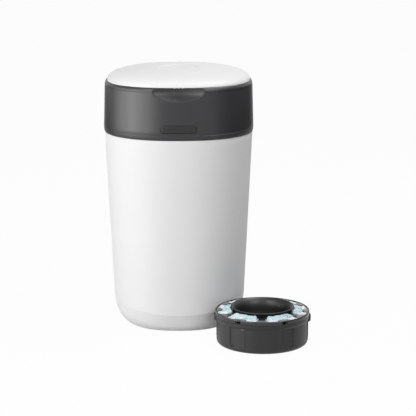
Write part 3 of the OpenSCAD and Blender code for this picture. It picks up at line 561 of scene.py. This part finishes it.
# %% [markdown]
# ## The lid
# The lid is a low dome on the same outline, and its edge rolls over to meet the collar. A round
# dish is pressed shallowly into its top, a little in front of the middle. The hoops start as
# small circles round the dish, and each next hoop is a blend that is less of the circle and more
# of the outline, so both the dish and the rim come out crisp. Every point's height comes from
# the same dome.

# %% Lid sizes
LID_HALF, LID_Z, DOME_H, DOME_POWER, LID_WALL = 121.2, 423.3, 23.24, 2.25, 2.2
DISH_Y, DISH_R, DISH_DEPTH, DISH_EDGE = -30.0, 35.0, 1.3, 2.6


def dome_z(x, y):
    """Height of the dome above one place, in millimetres."""
    out = min((abs(x) ** LID_POWER + abs(y) ** LID_POWER) ** (1 / LID_POWER) / LID_HALF, 1)
    return LID_Z + DOME_H * (1 - out ** DOME_POWER) ** (1 / DOME_POWER)


def dish_hoop(radius):
    """A circle round the dish, sunk where it lies inside the dish's edge."""
    rise = min(max((radius - DISH_R + DISH_EDGE) / DISH_EDGE, 0), 1)
    sunk = DISH_DEPTH * (1 - rise * rise * (3 - 2 * rise))
    def place(turn):
        x, y = radius * cos(turn), DISH_Y + radius * sin(turn)
        return metres(x, y, dome_z(x, y) - sunk)
    return place


def blend_hoop(share, radius=DISH_R + 2, half=LID_HALF * 0.86):
    """Between the circle round the dish, at share 0, and the lid's outline, at share 1."""
    def place(turn):
        x = (1 - share) * radius * cos(turn)
        y = (1 - share) * (DISH_Y + radius * sin(turn))
        far_x, far_y = outline(half, LID_POWER, turn)
        x, y = x + share * far_x, y + share * far_y
        return metres(x, y, dome_z(x, y))
    return place


def dome_hoop(angle, inset=0.0):
    """A hoop near the rim: angle is 0 at the edge and 90 at the crown."""
    bend = 2 / DOME_POWER
    half = (LID_HALF - inset) * cos(radians(angle)) ** bend
    return hoop_at(half, LID_POWER, LID_Z + (DOME_H - inset) * sin(radians(angle)) ** bend)


# %% Lid
dish = [dish_hoop(r) for r in (0.4, 6, 12, 18, 24, 29, 31.6, 32.4, 32.8, 33.3, 33.8, 34.3, 34.7, 35.0, 35.6)]
crown = [blend_hoop(i / 18) for i in range(19)]
edge = [dome_hoop(a) for a in (30, 26, 22, 18.5, 15, 12, 9, 6.5, 4.5, 2.8, 1.4, 0.5)]
under = [hoop_at(LID_HALF - 0.12, LID_POWER, LID_Z + 0.2), hoop_at(LID_HALF - 0.5, LID_POWER, LID_Z),
         hoop_at(LID_HALF - LID_WALL + 0.3, LID_POWER, LID_Z)]
hollow = [dome_hoop(a, LID_WALL) for a in (3, 8, 15, 24, 34, 46, 58, 70, 80, 86, 89)]
lid = make_piece("lid_dome", shell_from_hoops(even_turns(240), dish + crown + edge + under + hollow),
                 white_lid)
join_frame(lid, "lid", "white_plastic", "lid_shell")

# %% [markdown]
# Three small ribs stand under the lid's front lip, where a finger lifts it. Each is a short
# rounded peg: a sphere drawn out along its length.

# %% Lid ribs
bm = bmesh.new()
for x in (-6.7, 0, 6.7):
    bmesh.ops.create_uvsphere(bm, u_segments=24, v_segments=14, radius=1, matrix=Matrix.Translation(
        metres(x, -LID_HALF + 1.9, LID_Z + 0.4)) @ Matrix.Diagonal((1.5 * MM, 1.5 * MM, 1.6 * MM, 1)))
ribs = make_piece("lid_ribs", bm, white_lid)
join_frame(ribs, "lid", "white_plastic")

# %% [markdown]
# ## The cartridge
# The cartridge is turned round its own upright axis, so each of its rings is a profile that is
# spun once round. The tub's wall is then pushed in or out by short distances for its ribs and
# slots, and the cover's clip windows are cut.

# %% Spinning a profile
CART_X, CART_Y, CART_TURN = 137.9, -147.0, -3.5
CART_PLACE = Matrix.Translation(metres(CART_X, CART_Y, 0)) @ Matrix.Rotation(radians(CART_TURN), 4, "Z")


def spun(profile, steps, push=None):
    """A closed ring made by spinning a closed profile of radius and height in millimetres."""
    bm = bmesh.new()
    corners = [bm.verts.new(metres(r, 0, z)) for r, z in profile]
    edges = [bm.edges.new((a, b)) for a, b in zip(corners, corners[1:] + corners[:1])]
    bmesh.ops.spin(bm, geom=corners + edges, angle=2 * pi, steps=steps, use_merge=True,
                   axis=(0, 0, 1), cent=(0, 0, 0))
    bmesh.ops.remove_doubles(bm, verts=bm.verts, dist=0.001 * MM)
    bmesh.ops.recalc_face_normals(bm, faces=bm.faces)
    for v in bm.verts if push else ():
        r, angle, z = hypot(v.co.x, v.co.y), atan2(v.co.y, v.co.x), v.co.z / MM
        r += push(r / MM, angle, z) * MM
        v.co.x, v.co.y = r * cos(angle), r * sin(angle)
    bmesh.ops.transform(bm, matrix=CART_PLACE, verts=bm.verts)
    return bm


def step(value, low, high, soft):
    """1 between low and high, falling smoothly to 0 over a distance soft outside them."""
    inside = min(value - low, high - value) / soft + 1
    share = min(max(inside, 0), 1)
    return share * share * (3 - 2 * share)


def from_front(angle):
    """Degrees round the cartridge from its front, between -180 and 180."""
    return (angle / pi * 180 + 90 + 180) % 360 - 180


# %% [markdown]
# The tub is a trough: a wall with a rounded foot and a flange, a floor, and a core that the film
# lies round. Three sets of slim ribs and sunk slots stand on the wall, measured as angles from the
# middle of a set, and each fades over half a millimetre, so that their edges are soft.

# %% Tub
TUB_R, TUB_H, FLANGE_R, CORE_R, COVER_R, TUB_CORNER = 76.2, 49.0, 77.8, 46.8, 78.3, 6.5
RIB, SLOT, RIB_OUT, SLOT_IN = (21.3, 26.0), (36.8, 43.2), 0.7, 1.7


def tub_relief(r, angle, z):
    """Slim ribs and sunk slots on the tub's wall, three sets round it."""
    if r < TUB_R - 0.5 or z > TUB_H - 7:
        return 0
    place = (from_front(angle) + 60) % 120 - 60
    rib = step(abs(place), *RIB, 0.5) * step(z, 8.2, TUB_H - 8.6, 0.8)
    slot = step(abs(place), *SLOT, 0.5) * step(z, 9.2, TUB_H - 9.5, 0.8)
    return RIB_OUT * rib - SLOT_IN * slot


wall_steps = [(TUB_R, z) for z in (7.2, 7.8, 8.5, 9.3, 14, 20, 26, 32, 36, 38, 39, 40, 40.8)]
tub_profile = [(CORE_R - 2, 0.4), (CORE_R - 1.6, 0)] + \
    [(TUB_R - TUB_CORNER * (1 - cos(radians(a))), TUB_CORNER * (1 + sin(radians(a))))
     for a in range(-90, 1, 10)] + \
    wall_steps + \
    [(TUB_R + 0.15, TUB_H - 7.6), (TUB_R + 0.6, TUB_H - 6.9), (TUB_R + 0.9, TUB_H - 6.5),
     (FLANGE_R - 0.5, TUB_H - 6.1), (FLANGE_R - 0.1, TUB_H - 5.7), (FLANGE_R, TUB_H - 5.1),
     (FLANGE_R, TUB_H - 0.6), (FLANGE_R - 0.5, TUB_H), (TUB_R - 2, TUB_H), (TUB_R - 2, 7),
     (TUB_R - 7, 2), (CORE_R + 0.4, 2), (CORE_R, 2.4), (CORE_R, TUB_H + 2.6),
     (CORE_R - 0.4, TUB_H + 3), (CORE_R - 1.6, TUB_H + 3), (CORE_R - 2, TUB_H + 2.6)]
tub = make_piece("cartridge_tub_wall", spun(tub_profile, 720, tub_relief), charcoal_tub)
join_frame(tub, "cartridge", "charcoal_plastic", "cartridge_tub")

# %% [markdown]
# The cover is a rim with four clip windows and a thin hub ring, joined by six flat spokes. Inside
# the rim stand twelve short tabs that hold the film down. Their paler grey is painted sheen: it
# stands in for the white surround that their flat glossy tops mirror. A narrow groove, dark because
# it is deep, parts them from the rim, and a bridge under each tab crosses it. Spokes, tabs and
# bridges are flat boxes with softened edges, and the tabs' inner corners are rounded.

# %% Cover


def flat_bar(bm, turn, start, end, half_start, half_end, top, corner):
    """A flat bar along the radius, with round inner corners and softened edges."""
    slab = Matrix.Diagonal((1, 1, PLATE_THICK * MM, 1))
    slab = Matrix.Translation(metres(0, 0, top - PLATE_THICK / 2)) @ slab
    made = bmesh.ops.create_cube(bm, size=1, matrix=slab)["verts"]
    for v in made:
        outer = v.co.x > 0
        v.co.y = copysign(half_end if outer else half_start, v.co.y) * MM
        v.co.x = (end if outer else start) * MM
    upright = [e for e in edges_at(made)
               if abs(e.verts[0].co.z - e.verts[1].co.z) > 0.1 * MM
               and e.verts[0].co.x < (start + end) / 2 * MM]
    if corner:
        rounded = bmesh.ops.bevel(bm, geom=upright, offset=corner * MM, segments=6, profile=0.5,
                                  material=-1, affect="EDGES")["verts"]
        made = each_once([v for v in made if v.is_valid] + list(rounded))
    level = [e for e in edges_at(made)
             if abs(e.verts[0].co.z - e.verts[1].co.z) < 0.01 * MM
             and not all(abs(f.normal.z) > 0.9 for f in e.link_faces)]
    softened = bmesh.ops.bevel(bm, geom=level, offset=0.3 * MM, segments=2, profile=0.5, material=-1,
                               affect="EDGES")["verts"]
    whole = each_once([v for v in made if v.is_valid] + list(softened))
    bmesh.ops.transform(bm, matrix=Matrix.Rotation(radians(turn - 90), 4, "Z"), verts=whole)


rim_profile = [(COVER_R - 2.0, 49.3), (COVER_R - 1.7, 49), (COVER_R - 0.6, 49), (COVER_R - 0.1, 49.3),
               (COVER_R, 49.8), (COVER_R, 50.1), (COVER_R, 50.7), (COVER_R, 52), (COVER_R, 53.5),
               (COVER_R, 54.1), (COVER_R, 54.9), (COVER_R - 0.25, 55.6), (COVER_R - 0.7, 56),
               (COVER_R - 1.7, 56), (COVER_R - 2.0, 55.6)]
HUB_IN, HUB_OUT, PLATE_TOP, PLATE_THICK = 49.0, 51.0, 55.7, 1.5
TABS, TAB_IN, SPOKE_HALF, TAB_HALF = 12, 7.6, 5.5, 10.0
TAB_OUT, BRIDGE_HALF, BRIDGE_DOWN = COVER_R - 3.0, 3.0, 0.5
bm, tabs = bmesh.new(), bmesh.new()
for i in range(TABS):
    turn = 360 * i / TABS
    flat_bar(tabs, turn, TAB_OUT - TAB_IN, TAB_OUT, TAB_HALF * 0.8, TAB_HALF, PLATE_TOP + 0.02, 5.0)
    flat_bar(bm, turn, TAB_OUT - 2, COVER_R - 1.6, BRIDGE_HALF, BRIDGE_HALF, PLATE_TOP - BRIDGE_DOWN, 0)
    if i % 2 == 0:
        flat_bar(bm, turn, HUB_IN + 1, TAB_OUT - 1, SPOKE_HALF, SPOKE_HALF, PLATE_TOP, 0)
for part in (bm, tabs):
    bmesh.ops.transform(part, matrix=CART_PLACE, verts=part.verts)
hub_profile = [(HUB_IN, 54.5), (HUB_IN + 0.3, 54.2), (HUB_OUT - 0.3, 54.2), (HUB_OUT, 54.5),
               (HUB_OUT, 55.4), (HUB_OUT - 0.3, 55.7), (HUB_IN + 0.3, 55.7), (HUB_IN, 55.4)]
CLIP_TURNS, CLIP_Z, CLIP_SIZE = (-151, -30.2, 29, 150), 52.1, (4.4, 9.4, 4.8)
hooks = bmesh.new()
for place in CLIP_TURNS:
    turn = Matrix.Rotation(radians(place - 90), 4, "Z")
    box = Matrix.Translation(metres(COVER_R - 1, 0, CLIP_Z)) @ Matrix.Diagonal(metres(*CLIP_SIZE).to_4d())
    bmesh.ops.create_cube(hooks, size=1, matrix=CART_PLACE @ turn @ box)
rim = carve(make_piece("rim", spun(rim_profile, 480), cover_plastic),
            make_piece("hook_windows", hooks, cover_plastic))
hub = make_piece("hub", spun(hub_profile, 180), cover_plastic)
for ring in (rim, hub):
    bm.from_mesh(ring.data)
    bpy.data.objects.remove(ring)
cover = make_piece("cartridge_cover_ring", bm, cover_plastic)
join_frame(cover, "cartridge", "charcoal_plastic", "cartridge_cover")
join_frame(make_piece("cartridge_tabs", tabs, tabs_grey_painted_sheen), "cartridge", "charcoal_plastic")

# %% [markdown]
# Two round ears on the tub's flange drop into the twist ring. Each is a short cylinder that lies
# along the radius, with its outer edge rounded.

# %% Ears
EAR_OUT, EAR_R, EAR_Z, EAR_ROUND = 80.6, 8.0, 43.5, 4.2
bm = bmesh.new()
for side_sign in (-1, 1):
    depth = EAR_OUT - TUB_R + 0.4
    place = Matrix.Translation(metres(side_sign * (EAR_OUT - depth / 2), 0, EAR_Z))
    made = bmesh.ops.create_cone(bm, cap_ends=True, segments=64, radius1=EAR_R * MM, radius2=EAR_R * MM,
                                 depth=depth * MM, matrix=place @ Matrix.Rotation(pi / 2, 4, "Y"))["verts"]
    rims = [e for e in edges_at(made)
            if all(abs(abs(v.co.x) - EAR_OUT * MM) < 0.01 * MM for v in e.verts)]
    bmesh.ops.bevel(bm, geom=rims, offset=EAR_ROUND * MM, segments=8, profile=0.5, material=-1,
                    affect="EDGES")
bmesh.ops.transform(bm, matrix=CART_PLACE, verts=bm.verts)
ears = make_piece("cartridge_ears", bm, charcoal_tub)
join_frame(ears, "cartridge", "charcoal_plastic")

# %% [markdown]
# The funnel guides the film into the bin. It is a bowl with a rolled lip, a neck that sinks into
# the tub's core, and a short tube below it, all in one profile.

# %% Funnel
LIP_R, LIP_Z = 52.3, 63.0
funnel_profile = [
    (LIP_R - 0.9, LIP_Z), (LIP_R - 0.3, LIP_Z - 0.2), (LIP_R, LIP_Z - 0.8), (LIP_R - 0.1, LIP_Z - 1.5),
    (LIP_R - 1.2, LIP_Z - 2.1), (LIP_R - 2.3, LIP_Z - 2.8), (LIP_R - 3.0, LIP_Z - 3.9),
    (LIP_R - 3.3, LIP_Z - 5.0), (CORE_R + 2.0, LIP_Z - 6.2), (CORE_R + 1.6, LIP_Z - 7.0),
    (CORE_R + 1.3, LIP_Z - 8.0), (CORE_R + 0.8, 54.5), (CORE_R + 0.4, 52.5), (CORE_R + 0.2, 52.3),
    (CORE_R - 2.3, 52.3), (CORE_R - 2.3, 33.4), (CORE_R - 2.7, 33), (CORE_R - 3.5, 33),
    (CORE_R - 3.9, 33.4), (42.4, 39), (42.6, 44), (43.1, 49), (43.9, 53), (45.0, 55.9), (46.4, 58.4),
    (48.0, 60.5), (49.5, LIP_Z - 1.2), (50.6, LIP_Z - 0.3), (51.0, LIP_Z - 0.05)]
funnel = make_piece("cartridge_funnel_bowl", spun(funnel_profile, 240), charcoal_tub)
join_frame(funnel, "cartridge", "charcoal_plastic", "cartridge_funnel")

# %% [markdown]
# The film is one long tube of plastic, bunched like a concertina sleeve. From above, what shows
# is its top folds. They swell up like a cushion through each window of the cover, lie low under
# the spokes and tabs, and reach the rim between the tabs. A flat ring is divided finely and
# raised by these forms and by noise, and each corner gets the colour of its fold.

# %% Film folds
FILM_IN, FILM_OUT, FILM_LOW, SWELL, GROOVE, TAB_REACH = 49.4, 76.0, 53.7, 5.6, 4.0, 67
# The "dark" tint is painted shade: it darkens the film in the pocket under each tab's end.
TINTS = {"blue": "#bfd6dd", "deep": "#8fa9b2", "white": "#e4ebed", "dark": "#2a2e30"}


def ramp(value):
    """0 below 0, 1 above 1 and a smooth climb between."""
    value = min(max(value, 0), 1)
    return value * value * (3 - 2 * value)


def beside(turn, parts):
    """Degrees from one turn to the nearest of that many even parts, counted from the front."""
    part = 360 / parts
    return abs((degrees(turn) + 90 + part / 2) % part - part / 2)


def film_rise(r, turn):
    """Height of the film's folds above FILM_LOW, in millimetres."""
    spoke = r * radians(beside(turn, 6)) - SPOKE_HALF - 0.5
    tab = max(r * radians(beside(turn, TABS)) - TAB_HALF - 0.4, TAB_OUT - TAB_IN - 0.4 - r)
    place = Vector((cos(turn) * r, sin(turn) * r, 0))
    cushion = SWELL * ramp((r - HUB_OUT - 0.2) / 2.2) * (1 - 0.75 * ramp((r - 54) / 17))
    free = ramp(spoke / 4.5) * ramp(tab / 1.6)
    crumple = 0.9 * noise.fractal(place / 7, 1.0, 2.0, 3) + 0.35 * noise.noise(place / 2.2)
    edge = TAB_OUT - 0.4 if tab > 0 else TAB_OUT - 6
    return free * (cushion + crumple) - GROOVE * ramp((r - edge) / 0.8)


def film_tint(r, turn):
    """White where the film is drawn tight at the rim, blue where many layers lie together,
    and dark beneath the ends of the tabs: painted shade for the pocket under each tab."""
    # Painted shade: the film under the end of a tab is coloured dark.
    if r > TAB_REACH and r * radians(beside(turn, TABS)) < TAB_HALF - 1:
        return "dark"
    place = Vector((cos(turn) * r, sin(turn) * r, 5.0))
    patch = noise.noise(place / 9) + 0.4 * noise.noise(place / 3.2)
    if r > TAB_REACH + 0.5 + 2.5 * patch:
        return "white"
    if patch < -0.42:
        return "deep"
    return "white" if patch > 0.40 else "blue"


bm = bmesh.new()
turn_of = bm.verts.layers.float.new("turn")
first = bmesh.ops.create_circle(bm, segments=720, radius=1)["verts"]
for i, corner in enumerate(first):
    corner[turn_of] = 2 * pi * i / len(first)
edges = list(bm.edges)


def film_hoop(r, z=None):
    """A hoop of the film: on the folds, or at one height."""
    def place(turn):
        height = FILM_LOW + film_rise(r, turn) if z is None else z
        return metres(r * cos(turn), r * sin(turn), height)
    return place


for corner in first:
    corner.co = film_hoop(FILM_IN, 3.0)(corner[turn_of])
RINGS = 36
top_hoops = [film_hoop(FILM_IN + (FILM_OUT - FILM_IN) * i / RINGS) for i in range(RINGS + 1)]
side_hoops = [film_hoop(FILM_OUT - inwards, z) for inwards, z in (
    (0, 49.3), (2.2, 49.1), (2.6, 48.5), (2.6, 8.0), (7.6, 3.0))]
for hoop in top_hoops + side_hoops:
    edges = pull_hoop(bm, edges, turn_of, hoop)
bmesh.ops.bridge_loops(bm, edges=edges + [e for e in bm.edges if e.is_boundary and e not in set(edges)])
bmesh.ops.recalc_face_normals(bm, faces=bm.faces)
tint = bm.verts.layers.float_color.new("tint")
for v in bm.verts:
    v[tint] = from_hex(TINTS[film_tint(hypot(v.co.x, v.co.y) / MM, v[turn_of])])
bmesh.ops.smooth_vert(bm, verts=bm.verts, factor=0.3, use_axis_z=True)
bmesh.ops.transform(bm, matrix=CART_PLACE, verts=bm.verts)
film = make_piece("film_folds", bm, film_finish, crisp=60)
join_frame(film, "cartridge", "film", "film_pack")

# %% [markdown]
# ## The working parts
# The hinges, the deck, the twist ring, the cutter and the liner keep the shapes of the solid
# model, and each takes its finish: white or dark plastic, acetal, rubber or steel.

# %% Finishes of the working parts
FINISHES = {
    dark_parts: ["latch_keeper", "deck", "ring_retainer", "button_bracket", "lid_liner", "cutter_arm",
                 "unit_hinge_knuckles", "lid_hinge_lugs"],
    white_shell: ["unit_hinge_lugs", "lid_hinge_arms"],
    ring_plastic: ["twist_ring"],
    seal_rubber: ["base_pads", "lid_seal"],
    steel_finish: ["unit_hinge_pin", "lid_hinge_pin", "cutter_pin", "click_spring", "button_springs",
                   "cutter_blade", "deck_screws", "retainer_screws", "liner_screws"],
}
for finish, names in FINISHES.items():
    for name in names:
        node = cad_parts[name]
        node.data.materials.clear()
        node.data.materials.append(finish)
print("finished", sum(map(len, FINISHES.values())), "working parts")

# %% [markdown]
# ## Studio
# The bin stands on a white floor that runs out of view. The floor is a real surface, so it
# catches the contact shadow, but most of what is seen of it, straight or in a reflection, is its
# own white. One function makes that choice for the floor and for the surround behind it.

# %% Floor


def seen_rays(tree):
    """1 for rays that the camera sees straight, mirrored or through something clear."""
    rays = add(tree, "ShaderNodeLightPath")
    most = rays.outputs["Is Camera Ray"]
    for kind in ("Is Glossy Ray", "Is Transmission Ray"):
        both = {0: most, 1: rays.outputs[kind]}
        most = add(tree, "ShaderNodeMath", {"operation": "MAXIMUM"}, both).outputs[0]
    return most


OWN_WHITE = 0.97
floor_white, tree = new_material("white studio floor")
share = add(tree, "ShaderNodeMath", {"operation": "MULTIPLY", 1: OWN_WHITE}, {0: seen_rays(tree)})
paper = add(tree, "ShaderNodeBsdfDiffuse", {"Color": from_hex("#c4c4c4")})
glow = add(tree, "ShaderNodeEmission", {"Color": (1, 1, 1, 1), "Strength": 1.0})
mixed = add(tree, "ShaderNodeMixShader", links={0: share.outputs[0], 1: paper.outputs[0], 2: glow.outputs[0]})
add(tree, "ShaderNodeOutputMaterial", links={"Surface": mixed.outputs[0]})

bm = bmesh.new()
bmesh.ops.create_grid(bm, x_segments=2, y_segments=2, size=60)
studio_floor = make_piece("studio_floor", bm, floor_white)
print("floor is", studio_floor.dimensions.x, "m wide")

# %% [markdown]
# A low black card stands on each side, out of the picture, as beside most dark products. The
# collar mirrors them, which keeps its left and right ends deep and draws a clear edge against the
# white. They are low, because the camera looks down and upright walls mirror what lies low beside
# them, and the right one is taller, because that end of the collar is the darker one.

# %% Black cards
card_black, tree = new_material("black card")
felt = add(tree, "ShaderNodeBsdfDiffuse", {"Color": from_hex("#151515")})
add(tree, "ShaderNodeOutputMaterial", links={"Surface": felt.outputs[0]})
bm = bmesh.new()
RIGHT_CARD, LEFT_CARD, CARD_THICK = (0.95, 0.5, 2.6, 0.38), (-0.8, 1.0, 1.4, 0.28), 0.01
for x, y, length, height in (RIGHT_CARD, LEFT_CARD):
    bmesh.ops.create_cube(bm, size=1, matrix=Matrix.Translation((x, y, height / 2))
                          @ Matrix.Diagonal((CARD_THICK, length, height, 1)))
black_cards = make_piece("black_cards", bm, card_black)
black_cards.visible_camera = False
print("cards are", round(black_cards.dimensions.x, 2), "m apart")

# %% [markdown]
# A low curved bank of five soft boxes stands round the left, brightest at its middle. It draws
# the broad highlight down the collar: a low lamp does this with little light, because the camera
# looks down and sees the floor's direction mirrored in upright walls. Two soft boxes in front and
# one overhead light the lid and even out the bucket. The world gives only a faint fill, except
# to the rays that see it, which find it white.

# %% Lamps and surround


def soft_lamp(name, place, aim, width, height, radiance):
    """A soft box: an area lamp whose surface has that brightness."""
    lamp = bpy.data.lights.new(name, "AREA")
    lamp.shape, lamp.size, lamp.size_y = "RECTANGLE", width, height
    lamp.energy = radiance * pi * width * height
    holder = bpy.data.objects.new(name, lamp)
    holder.location = place
    holder.rotation_euler = (Vector(aim) - Vector(place)).to_track_quat("-Z", "Y").to_euler()
    scene.collection.objects.link(holder)
    print(name, "gives", round(lamp.energy, 1), "W")


BANK = {-95: 5.0, -80: 7.0, -65: 15.0, -50: 9.7, -35: 7.6}
BANK_AWAY, BANK_Z, AIM, BOX = 2.1, 0.22, (0, 0, 0.3), 0.8
for azimuth, radiance in BANK.items():
    turn = radians(azimuth)
    soft_lamp("bank_lamp", (BANK_AWAY * sin(turn), -BANK_AWAY * cos(turn), BANK_Z), AIM, 0.5, 0.4, radiance)
soft_lamp("front_left_lamp", (-1.03, -1.47, 1.4), AIM, BOX, BOX, 7.8)
soft_lamp("front_right_lamp", (1.03, -1.47, 1.4), AIM, BOX, BOX, 6.2)
soft_lamp("top_lamp", (0.8, 0, 2.0), (0, 0, 0.4), BOX, BOX, 10.2)

world = bpy.data.worlds.new("surround")
scene.world = world
world.use_nodes = True
tree = world.node_tree
tree.nodes.clear()
FAINT_FILL = 0.04
level = add(tree, "ShaderNodeMapRange", {"To Min": FAINT_FILL, "To Max": 1.0}, {"Value": seen_rays(tree)})
sky = add(tree, "ShaderNodeBackground", {"Color": (1, 1, 1, 1)}, {"Strength": level.outputs["Result"]})
add(tree, "ShaderNodeOutputWorld", links={"Surface": sky.outputs[0]})
scene.view_settings.view_transform = "Standard"
